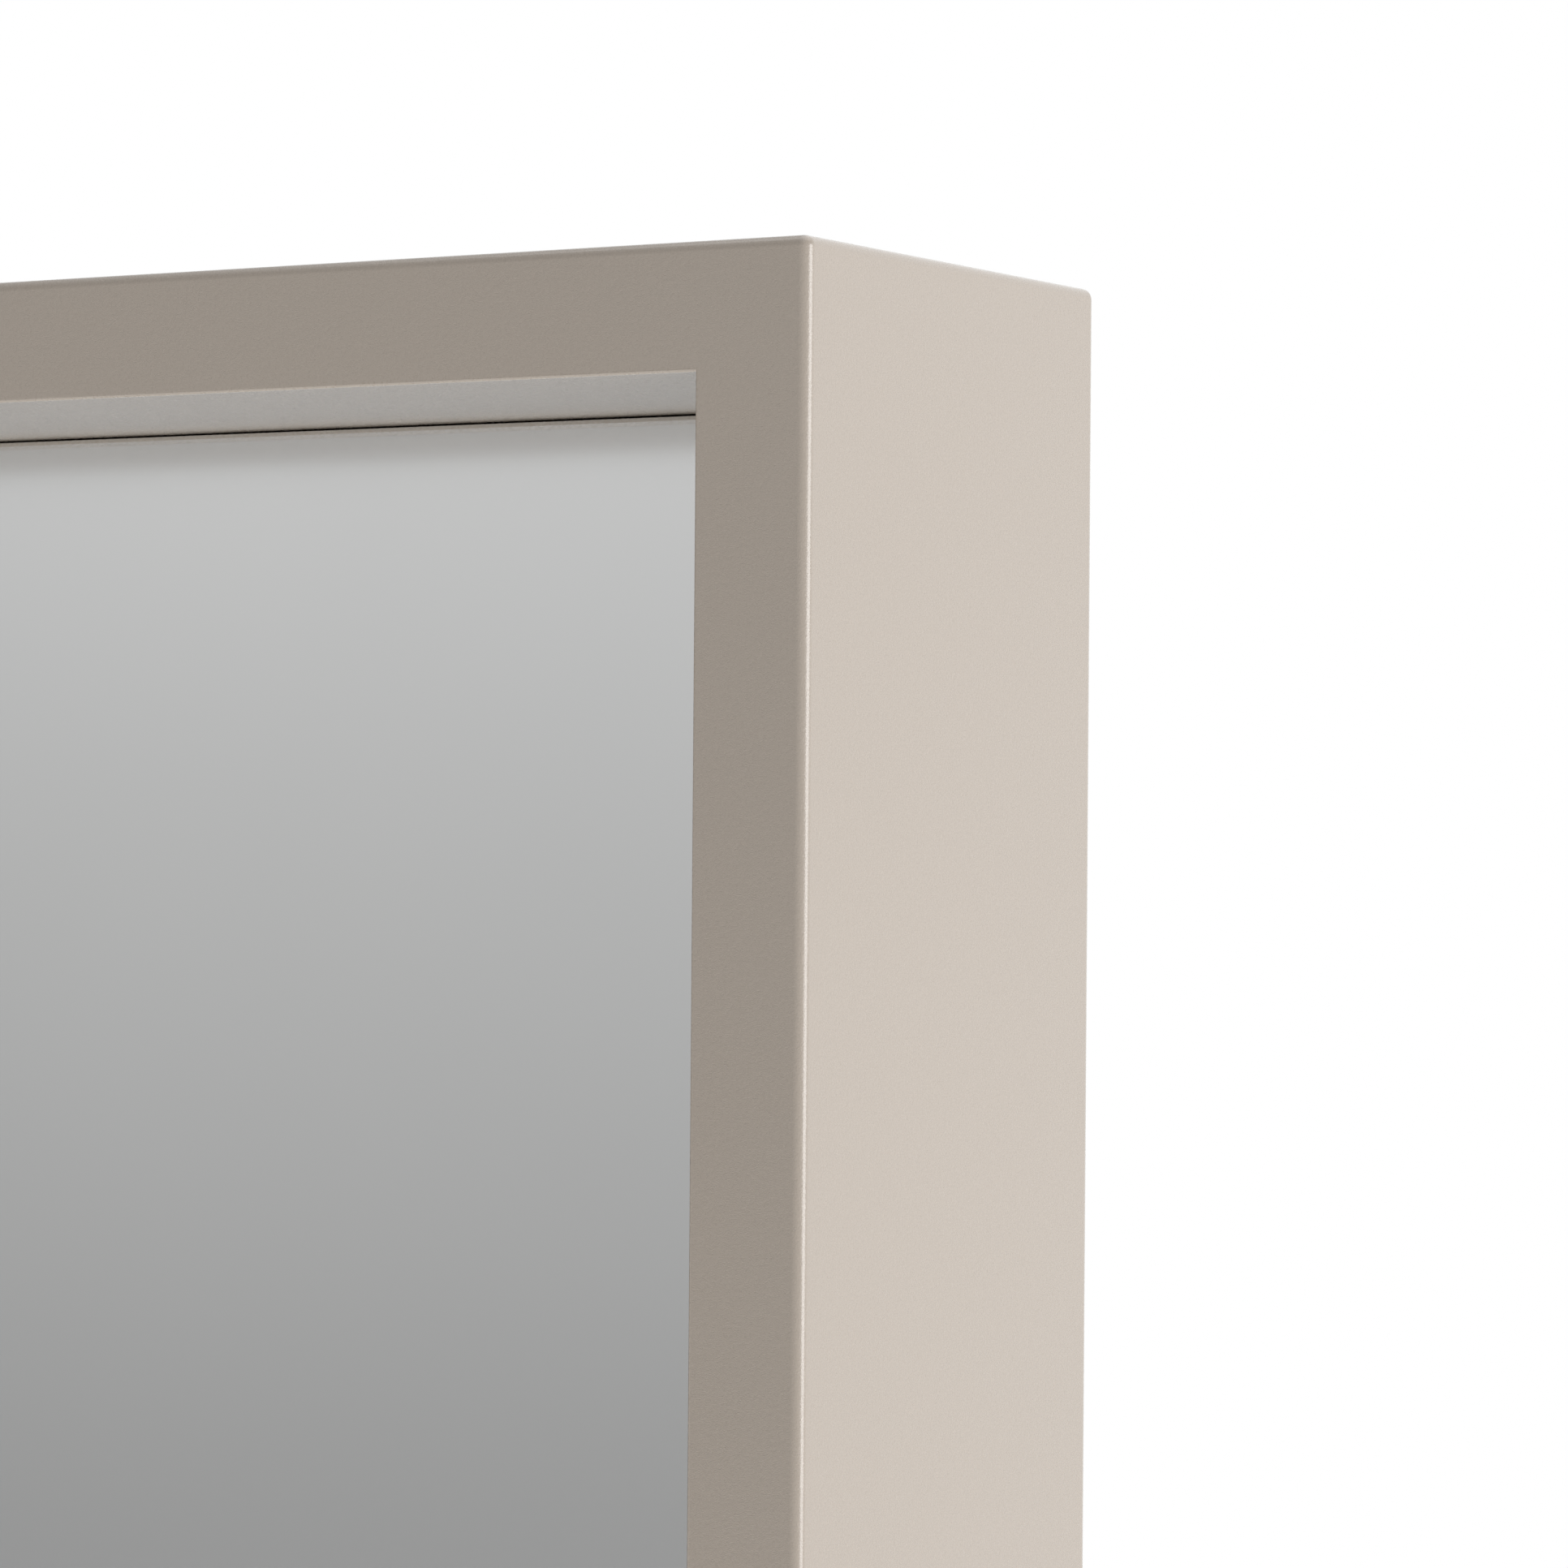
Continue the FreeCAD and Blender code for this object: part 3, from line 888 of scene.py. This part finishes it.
@dataclass
class Carcass:
    """The four lacquered boards, sprayed as one after they were joined."""

    outer_arris: float = 2.7 * MM
    inner_arris: float = 1.0 * MM
    sleeve_hole_radius: float = 3.6 * MM
    sleeve_hole_depth: float = 11.5 * MM
    cap_clearance: float = 0.15 * MM
    cap_thickness: float = 1.5 * MM
    access_radius: float = 4.0 * MM
    cutter_margin: float = 5.0 * MM
    near: float = 0.1 * MM
    low: Vector = field(init=False)
    high: Vector = field(init=False)
    side: float = field(init=False)
    top: float = field(init=False)

    def __post_init__(self) -> None:
        """Takes the carcass's corners and wall thicknesses from the boards."""
        right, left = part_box("side_panel_right"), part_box("side_panel_left")
        above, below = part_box("top_panel"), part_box("bottom_panel")
        self.low = Vector((left[0][0], above[0][1], below[0][2]))
        self.high = Vector((right[1][0], above[1][1], above[1][2]))
        self.side = right[1][0] - right[0][0]
        self.top = above[1][2] - above[0][2]

    @property
    def inner_low(self) -> Vector:
        """The opening's lowest corner."""
        return self.low + Vector((self.side, 0, self.top))

    @property
    def inner_high(self) -> Vector:
        """The opening's highest corner."""
        return self.high - Vector((self.side, 0, self.top))

    @property
    def front_corner(self) -> Vector:
        """The sharp corner that the top, the front and the right side would meet in."""
        return Vector((self.high.x, self.low.y, self.high.z))

    def _open_through(self, shell: bpy.types.Object) -> None:
        """Insets the front and the back to the boards' thickness and joins the two holes.

        Args:
            shell: The block to open.
        """
        for sign in (-1.0, 1.0):
            pick_faces(shell, lambda middle, normal, s=sign: normal.y * s > FACING)
            bpy.ops.mesh.inset(thickness=self.side, use_even_offset=True)
        middle_z = (self.low.z + self.high.z) / 2
        pick_faces(shell, lambda middle, normal: (abs(normal.y) > FACING and abs(middle.x) < self.near
                                                  and abs(middle.z - middle_z) < self.near))
        bpy.ops.mesh.bridge_edge_loops()
        bpy.ops.object.mode_set(mode="OBJECT")

    def _is_rim(self, first: Vector, second: Vector) -> bool:
        """Whether an edge lies round the opening, at the front or the back.

        Args:
            first: One end of the edge.
            second: Its other end.

        Returns:
            True for the eight edges of the two rims.
        """
        level = abs(first.y - second.y) < self.near
        low_z, high_z = self.inner_low.z - self.near, self.inner_high.z + self.near
        return level and all(abs(p.x) < self.inner_high.x + self.near and low_z < p.z < high_z
                             for p in (first, second))

    def _is_outer(self, first: Vector, second: Vector) -> bool:
        """Whether an edge is one of the twelve outer arrises.

        Args:
            first: One end of the edge.
            second: Its other end.

        Returns:
            True where both ends lie on the same two outer skins.
        """

        def skins(p: Vector) -> set[tuple[int, int]]:
            """The outer skins that a point lies on."""
            return {(axis, end) for axis in range(3) for end, limit in enumerate((self.low, self.high))
                    if abs(p[axis] - limit[axis]) < self.near}

        return len(skins(first) & skins(second)) >= 2

    def _holes(self) -> list[bpy.types.Object]:
        """Cutters for the pin sleeves and the two access holes.

        Returns:
            The cutters, in their places.
        """
        cutters = []
        for sign, y, z in ShelfSet.sleeve_mouths():
            wall = sign * self.inner_high.x
            mouth = (wall - sign * self.cutter_margin, y, z)
            end = (wall + sign * self.sleeve_hole_depth, y, z)
            cutters.append(add_rod("cutter", self.sleeve_hole_radius, mouth, end))
        low, high = (Vector(c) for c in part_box("access_caps"))
        middle_y = (low.y + high.y) / 2
        radius = (high.y - low.y) / 2
        top = high.z + self.cutter_margin
        for x in (low.x + radius, high.x - radius):
            rebate = (x, middle_y, high.z - self.cap_thickness)
            bore = (x, middle_y, self.inner_high.z - self.cutter_margin)
            cutters.append(add_rod("cutter", radius + self.cap_clearance, rebate, (x, middle_y, top), 64))
            cutters.append(add_rod("cutter", self.access_radius, bore, (x, middle_y, top)))
        return cutters

    def build(self) -> None:
        """Models the ring of boards as one sprayed shell."""
        shell = add_block("carcass_shell", self.low, self.high)
        self._open_through(shell)
        pick_edges(shell, self._is_outer)
        bevel_picked(self.outer_arris, 6)
        pick_edges(shell, self._is_rim)
        bevel_picked(self.inner_arris, 4)
        face_outwards(shell)
        cut_away(shell, self._holes())
        smooth(shell, 35.0)
        place(shell, Body.CABINET, [LACQUER],
              ["side_panel_right", "side_panel_left", "top_panel", "bottom_panel"])
        dress("corner_splines", Plywood())


@dataclass
class MirrorBack:
    """The mirror, its tapes, and the board and rails that carry it."""

    bevel_width: float = 2.1 * MM
    bevel_depth: float = 0.9 * MM
    facet_share: float = 0.5
    edge_break: float = 0.12 * MM
    board_round: float = 0.25 * MM
    rail_round: float = 0.8 * MM
    near: float = 0.01 * MM

    @property
    def facet_depth(self) -> float:
        """How far back the bevel is where its two facets meet."""
        return self.bevel_depth * self.facet_share ** 2

    def _pane(self) -> bpy.types.Object:
        """The silvered pane, with a ground bevel in two facets round its front.

        Returns:
            The pane, with material slots for silvering and the two facets, whose colours paint light and
            shade.
        """
        low, high = (Vector(c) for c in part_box("mirror_glass"))
        pane = add_block("mirror_pane", low, high)
        for share in (self.facet_share, 1 - self.facet_share):
            self._pick_front(pane)
            bpy.ops.mesh.inset(thickness=self.bevel_width * share, use_even_offset=True)
            bpy.ops.object.mode_set(mode="OBJECT")
        for vertex in pane.data.vertices:
            inset = min(high.x - abs(vertex.co.x), high.z - vertex.co.z, vertex.co.z - low.z)
            if abs(vertex.co.y - low.y) < self.near:
                if inset < self.near:
                    vertex.co.y += self.bevel_depth
                elif inset < self.bevel_width - self.near:
                    vertex.co.y += self.facet_depth
        pick_edges(pane, lambda a, b: abs(a.y - low.y) < self.near and abs(b.y - low.y) < self.near)
        bevel_picked(self.edge_break, 2)
        start, end = low.y + self.near, low.y + self.facet_depth
        # Slot 1 gives the outer facet, and the pane's edges and back, the colour lightened to paint light;
        # slot 2 gives the inner facet the colour darkened to paint shade.
        paint_faces(pane, 1, lambda middle, normal: normal.y > -0.999)
        paint_faces(pane, 2, lambda middle, normal: normal.y < -0.2 and start < middle.y < end)
        return pane

    @staticmethod
    def _pick_front(pane: bpy.types.Object) -> None:
        """Opens the pane and selects the largest face of its front.

        Args:
            pane: The pane to edit.
        """
        mesh = in_edit_mode(pane, "FACE")
        fronts = [face for face in mesh.faces if face.normal.y < -FACING]
        max(fronts, key=lambda face: face.calc_area()).select_set(True)
        bmesh.update_edit_mesh(pane.data)

    def build(self) -> None:
        """Models the pane and dresses what is behind it."""
        pane = self._pane()
        smooth(pane, 20.0)
        # The two facet finishes are one ground glass, in a painted-light copy and a painted-shade copy.
        place(pane, Body.CABINET, [Silvering(), OUTER_FACET_PAINTED_LIGHT, INNER_FACET_PAINTED_SHADE], ["mirror_glass"])
        dress("mirror_tapes", FoamTape())
        board = softened_copy("back_board", "carrier_board", self.board_round)
        place(board, Body.CABINET, [FibreBoard()], ["back_board"])
        for name, run in (("top_rail", Run.ACROSS), ("bottom_rail", Run.ACROSS),
                          ("side_rail_right", Run.UPRIGHT), ("side_rail_left", Run.UPRIGHT)):
            rail = softened_copy(name, name + "_planed", self.rail_round)
            place(rail, Body.CABINET, [Softwood(run)], [name])
        for name in ("rail_screws", "board_screws", "housing_screws"):
            dress(name, ZINC)


@dataclass
class ShelfSet:
    """The glass shelf with its pins, pads and sleeves."""

    edge_round: float = 0.6 * MM
    corner_round: float = 6.0 * MM
    near: float = 0.1 * MM
    flange_radius: ClassVar[float] = 4.6 * MM

    @classmethod
    def sleeve_mouths(cls) -> list[tuple[float, float, float]]:
        """(side, y, z) of each pin sleeve's middle.

        Returns:
            One triple a sleeve, the right side first.
        """
        low, high = (Vector(c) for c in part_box("pin_sleeves"))
        columns = (low.y + cls.flange_radius, high.y - cls.flange_radius)
        rows = (low.z + cls.flange_radius, (low.z + high.z) / 2, high.z - cls.flange_radius)
        return [(sign, y, z) for sign in SIDES.values() for y in columns for z in rows]

    def _pane(self) -> bpy.types.Object:
        """The shelf, with rounded corners and polished edges.

        Returns:
            The pane, with material slots for its faces and its edges.
        """
        pane = add_block("shelf_pane", *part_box("glass_shelf"))
        pick_edges(pane, lambda a, b: abs(a.z - b.z) > self.near)
        bevel_picked(self.corner_round, 8)
        pick_edges(pane, lambda a, b: abs(a.z - b.z) < self.near)
        bevel_picked(self.edge_round, 3)
        paint_faces(pane, 1, lambda middle, normal: abs(normal.z) < FACING)
        return pane

    def build(self) -> None:
        """Models the shelf and softens its pins, sleeves and pads."""
        pane = self._pane()
        smooth(pane, 30.0)
        place(pane, Body.SHELF, [ClearGlass(), GreenEdge()], ["glass_shelf"])
        for node, name, radius, slot, finish in (
                ("shelf_pins", "turned_shelf_pins", 0.25, "nickel", NICKEL),
                ("pin_sleeves", "pressed_pin_sleeves", 0.15, "nickel", NICKEL),
                ("pin_pads", "soft_pin_pads", 0.2, "clear_pad", Silicone())):
            place(softened_copy(node, name, radius * MM), Body.CABINET, [finish], [node])


@dataclass
class HeightScrew:
    """A shouldered adjusting screw with a cut thread and a hexagon socket."""

    side: str
    radius: float = 3.0 * MM
    pitch: float = 1.0 * MM
    thread_depth: float = 0.55 * MM
    head_radius: float = 4.5 * MM
    head_height: float = 5.0 * MM
    collar_radius: float = 5.0 * MM
    collar_height: float = 2.0 * MM
    web_room: float = 4.2 * MM
    socket_radius: float = 2.31 * MM
    socket_depth: float = 3.0 * MM
    head_break: float = 0.35 * MM
    tip_break: float = 0.5 * MM
    ridge_reach: float = 0.95  # of the thread's depth
    ridge_share: float = 0.8  # of the pitch
    steps_a_turn: int = 24

    def _turned(self, low: Vector, high: Vector, axis: Vector) -> bpy.types.Object:
        """The core, collar and socketed head, with their corners broken.

        Args:
            low: The screw's lowest corner.
            high: Its highest corner.
            axis: A point on its axis.

        Returns:
            The turned body.
        """
        def at(z: float) -> tuple:
            """The point of the axis at one height."""
            return axis.x, axis.y, z

        head_bottom = high.z - self.head_height
        collar_top = head_bottom - self.web_room
        collar_bottom = collar_top - self.collar_height
        head = add_rod("head", self.head_radius, at(head_bottom), at(high.z), 64)
        socket = add_rod("socket", self.socket_radius, at(high.z - self.socket_depth), at(high.z + 1 * MM), 6)
        cut_away(head, [socket])
        collar = add_rod("collar", self.collar_radius, at(collar_bottom), at(collar_top), 64)
        for part in (head, collar):
            add_modifier(part, "BEVEL", width=self.head_break, segments=3, limit_method="ANGLE",
                         angle_limit=math.radians(60.0))
        neck = add_rod("neck", self.radius, at(collar_bottom), at(head_bottom))
        core = add_rod("core", self.radius - self.thread_depth, at(low.z), at(collar_bottom), 32)
        add_modifier(core, "BEVEL", width=self.tip_break, segments=2, limit_method="ANGLE",
                     angle_limit=math.radians(60.0))
        return join("turned", [head, collar, neck, core])

    def _thread(self, low: Vector, high: Vector, axis: Vector) -> bpy.types.Object:
        """The thread's ridge, wound up from a small section.

        Args:
            low: The screw's lowest corner.
            high: Its highest corner.
            axis: A point on its axis.

        Returns:
            The thread, settled in its place.
        """
        top = high.z - self.head_height - self.web_room - self.collar_height
        turns = int((top - low.z) / self.pitch) - 1
        deselect()
        bpy.ops.mesh.primitive_circle_add(vertices=4, radius=self.thread_depth, location=(0, 0, 0),
                                          rotation=(math.radians(90), 0, 0))
        ridge = bpy.context.object
        settle(ridge)
        for vertex in ridge.data.vertices:
            vertex.co.x = vertex.co.x * self.ridge_reach + self.radius - self.thread_depth
            vertex.co.z *= self.ridge_share * self.pitch / 2 / self.thread_depth
        steps = self.steps_a_turn * turns
        add_modifier(ridge, "SCREW", axis="Z", angle=math.tau * turns, screw_offset=self.pitch * turns,
                     steps=steps, render_steps=steps, use_merge_vertices=False)
        ridge.location = (axis.x, axis.y, low.z + self.pitch / 2)
        settle(ridge)
        activate(ridge)
        bpy.ops.object.mode_set(mode="EDIT")
        bpy.ops.mesh.select_all(action="DESELECT")
        bpy.ops.mesh.select_non_manifold()
        bpy.ops.mesh.fill()
        bpy.ops.object.mode_set(mode="OBJECT")
        return ridge

    def build(self) -> None:
        """Models the screw round the axis of its CAD box."""
        low, high = (Vector(c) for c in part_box("height_screw_" + self.side))
        axis = (low + high) / 2
        screw = join("threaded_screw_" + self.side,
                     [self._turned(low, high, axis), self._thread(low, high, axis)])
        face_outwards(screw)
        smooth(screw, 35.0)
        body = Body.RIGHT_SCREW if self.side == "right" else Body.LEFT_SCREW
        place(screw, body, [ZINC], ["height_screw_" + self.side])


@dataclass
class Hanger:
    """One adjustable hanger with its hook, wall plate and height screw."""

    side: str

    def build(self) -> None:
        """Softens the pressed steel and builds the screw."""
        for kind, body, radius in (("hanger_housing_", Body.CABINET, 0.5), ("hanger_hook_", Body.WALL, 0.4),
                                   ("wall_plate_", Body.WALL, 0.5)):
            node = kind + self.side
            place(softened_copy(node, "pressed_" + node, radius * MM, 3), body, [ZINC], [node])
        HeightScrew(self.side).build()


def build_trims() -> None:
    """The caps over the access holes and the bumpers on the back edge."""
    caps = softened_copy("access_caps", "moulded_access_caps", 0.3 * MM, 3)
    place(caps, Body.CABINET, [CapPlastic()], ["access_caps"])
    bumpers = softened_copy("wall_bumpers", "domed_wall_bumpers", 0.5 * MM, 4)
    place(bumpers, Body.CABINET, [Silicone()], ["wall_bumpers"])


# ---- studio -----------------------------------------------------------------------------


@dataclass(frozen=True)
class SoftBox:
    """A white area light, placed by its bearing from the cabinet.

    The azimuth is 0 in front and 90 to the right, in degrees like the elevation. The sizes are in
    metres and the power is in watts.
    """

    name: str
    azimuth: float
    elevation: float
    distance: float
    size: tuple[float, float]
    power: float
    reflected: bool = True

    def hang(self, aim: Vector) -> None:
        """Adds the light.

        Args:
            aim: The point that it faces.
        """
        turn, rise = math.radians(self.azimuth), math.radians(self.elevation)
        away = Vector((math.sin(turn) * math.cos(rise), -math.cos(turn) * math.cos(rise), math.sin(rise)))
        lamp = bpy.data.lights.new(self.name, "AREA")
        lamp.shape = "RECTANGLE"
        lamp.size, lamp.size_y = self.size
        lamp.energy = self.power
        holder = bpy.data.objects.new(self.name, lamp)
        holder.location = aim + away * self.distance
        holder.rotation_euler = away.to_track_quat("Z", "Y").to_euler()
        if not self.reflected:
            holder.visible_glossy = False
            holder.visible_camera = False
        bpy.context.collection.objects.link(holder)


SOFT_BOXES = (
    SoftBox("key_softbox", 97.0, 6.0, 1.9, (1.1, 1.5), 25.0),
    SoftBox("overhead_softbox", 150.0, 84.0, 2.6, (3.0, 3.0), 22.0),
    SoftBox("low_fill", 0.0, -78.0, 1.6, (1.6, 1.0), 22.0, reflected=False),
)


@dataclass
class Studio:
    """Pale floor, soft lights, a white surround and the camera."""

    corner: Vector
    floor_drop: float = 3.4
    floor_radius: float = 14.3
    floor_glow: float = 0.4
    back_level: float = 1.1
    flag_level: float = 0.08
    aim_drop: float = 0.3
    lens: float = 122.29
    sensor: float = 36.0
    camera_turn: tuple[float, float, float] = (30.972, 0.508, 0.431)
    camera_place: tuple[float, float, float] = (0.61044, -1.02609, -0.13425)

    def _floor(self) -> None:
        """A round pale floor, well below the cabinet."""
        deselect()
        bpy.ops.mesh.primitive_circle_add(vertices=96, radius=self.floor_radius, fill_type="NGON",
                                          location=(0, -0.5, self.corner.z - self.floor_drop))
        floor = bpy.context.object
        floor.name = "studio_floor"
        settle(floor)
        graph = Graph("pale_floor")
        floor.data.materials.append(graph.finish(
            Base_Color=graph.blend(graph.noise(0.4, 3.0), (0.80, 0.80, 0.79), (0.82, 0.82, 0.81)),
            Roughness=0.8,
            Emission_Color=(1.0, 1.0, 1.0), Emission_Strength=self.floor_glow))

    def _world(self) -> None:
        """White to the eye; for light and reflections it is graded in front and brightest behind."""
        world = bpy.data.worlds.new("studio_surround")
        bpy.context.scene.world = world
        world.use_nodes = True
        tree = world.node_tree
        tree.nodes.clear()

        def add(kind: str, **values: object) -> bpy.types.Node:
            """Adds a node and sets or links its inputs.

            Args:
                kind: The node's type, without its prefix.
                **values: Values or output sockets by input name.

            Returns:
                The node.
            """
            made = tree.nodes.new("ShaderNode" + kind)
            for key, value in values.items():
                socket = made.inputs[key.replace("_", " ")]
                if isinstance(value, bpy.types.NodeSocket):
                    tree.links.new(value, socket)
                else:
                    socket.default_value = value
            return made

        white = (1.0, 1.0, 1.0, 1.0)
        ways = add("SeparateXYZ", Vector=add("TexCoord").outputs["Generated"])
        height = add("MapRange", Value=ways.outputs["Z"], From_Min=-1.0)
        graded = add("ValToRGB", Fac=height.outputs[0])
        Graph.set_stops(graded.color_ramp, self.surround_stops())
        behind = add("MapRange", Value=ways.outputs["Y"], From_Min=0.45, From_Max=0.8)
        flagged = add("MapRange", Value=ways.outputs["X"], From_Min=-0.85, From_Max=-0.65,
                      To_Min=self.flag_level)
        front = add("Background", Color=graded.outputs[0], Strength=flagged.outputs[0])
        back = add("Background", Color=white, Strength=self.back_level)
        lit = add("MixShader", Fac=behind.outputs[0])
        tree.links.new(front.outputs[0], lit.inputs[1])
        tree.links.new(back.outputs[0], lit.inputs[2])
        seen = add("MixShader", Fac=add("LightPath").outputs["Is Camera Ray"])
        tree.links.new(lit.outputs[0], seen.inputs[1])
        tree.links.new(add("Background", Color=white).outputs[0], seen.inputs[2])
        tree.links.new(seen.outputs[0], add("OutputWorld").inputs[0])

    @staticmethod
    def surround_stops() -> list[tuple[float, Colour]]:
        """(place, colour) of the front surround, from straight down at 0 to straight up at 1.

        Returns:
            The stops, lowest first.
        """
        levels = ((-1.0, 1.0), (-0.5, 1.0), (-0.26, 0.9), (-0.195, 0.262), (-0.133, 0.364),
                  (-0.072, 0.473), (0.0, 0.574), (0.10, 0.76), (0.25, 0.55), (0.6, 0.47), (1.0, 0.85))
        return [((height + 1) / 2, (level, level, level)) for height, level in levels]

    def _camera(self) -> None:
        """A long lens a little to the right of the front, almost level."""
        turn, rise, roll = (math.radians(angle) for angle in self.camera_turn)
        forward = Vector((-math.sin(turn) * math.cos(rise), math.cos(turn) * math.cos(rise), math.sin(rise)))
        right = Vector((math.cos(turn), math.sin(turn), 0.0))
        level = Matrix((right, right.cross(forward), -forward)).transposed()
        lens = bpy.data.cameras.new("long_lens")
        lens.lens, lens.sensor_width = self.lens, self.sensor
        camera = bpy.data.objects.new("camera", lens)
        camera.matrix_world = (Matrix.Translation(self.corner + Vector(self.camera_place))
                               @ (level @ Matrix.Rotation(roll, 3, "Z")).to_4x4())
        bpy.context.collection.objects.link(camera)
        bpy.context.scene.camera = camera

    def build(self) -> None:
        """Sets up the floor, the light and the camera."""
        bpy.context.scene.view_settings.view_transform = "Standard"
        self._floor()
        self._world()
        for box in SOFT_BOXES:
            box.hang(self.corner - Vector((0, 0, self.aim_drop)))
        self._camera()
        LOG.info("studio: floor, surround, %d soft boxes and camera", len(SOFT_BOXES))


def main() -> None:
    """Builds the cabinet around the frame, then the studio around the cabinet."""
    logging.basicConfig(level=logging.INFO, format="%(name)s: %(message)s")
    carcass = Carcass()
    carcass.build()
    MirrorBack().build()
    ShelfSet().build()
    for side in SIDES:
        Hanger(side).build()
    build_trims()
    Studio(carcass.front_corner).build()


if __name__ == "__main__":
    main()
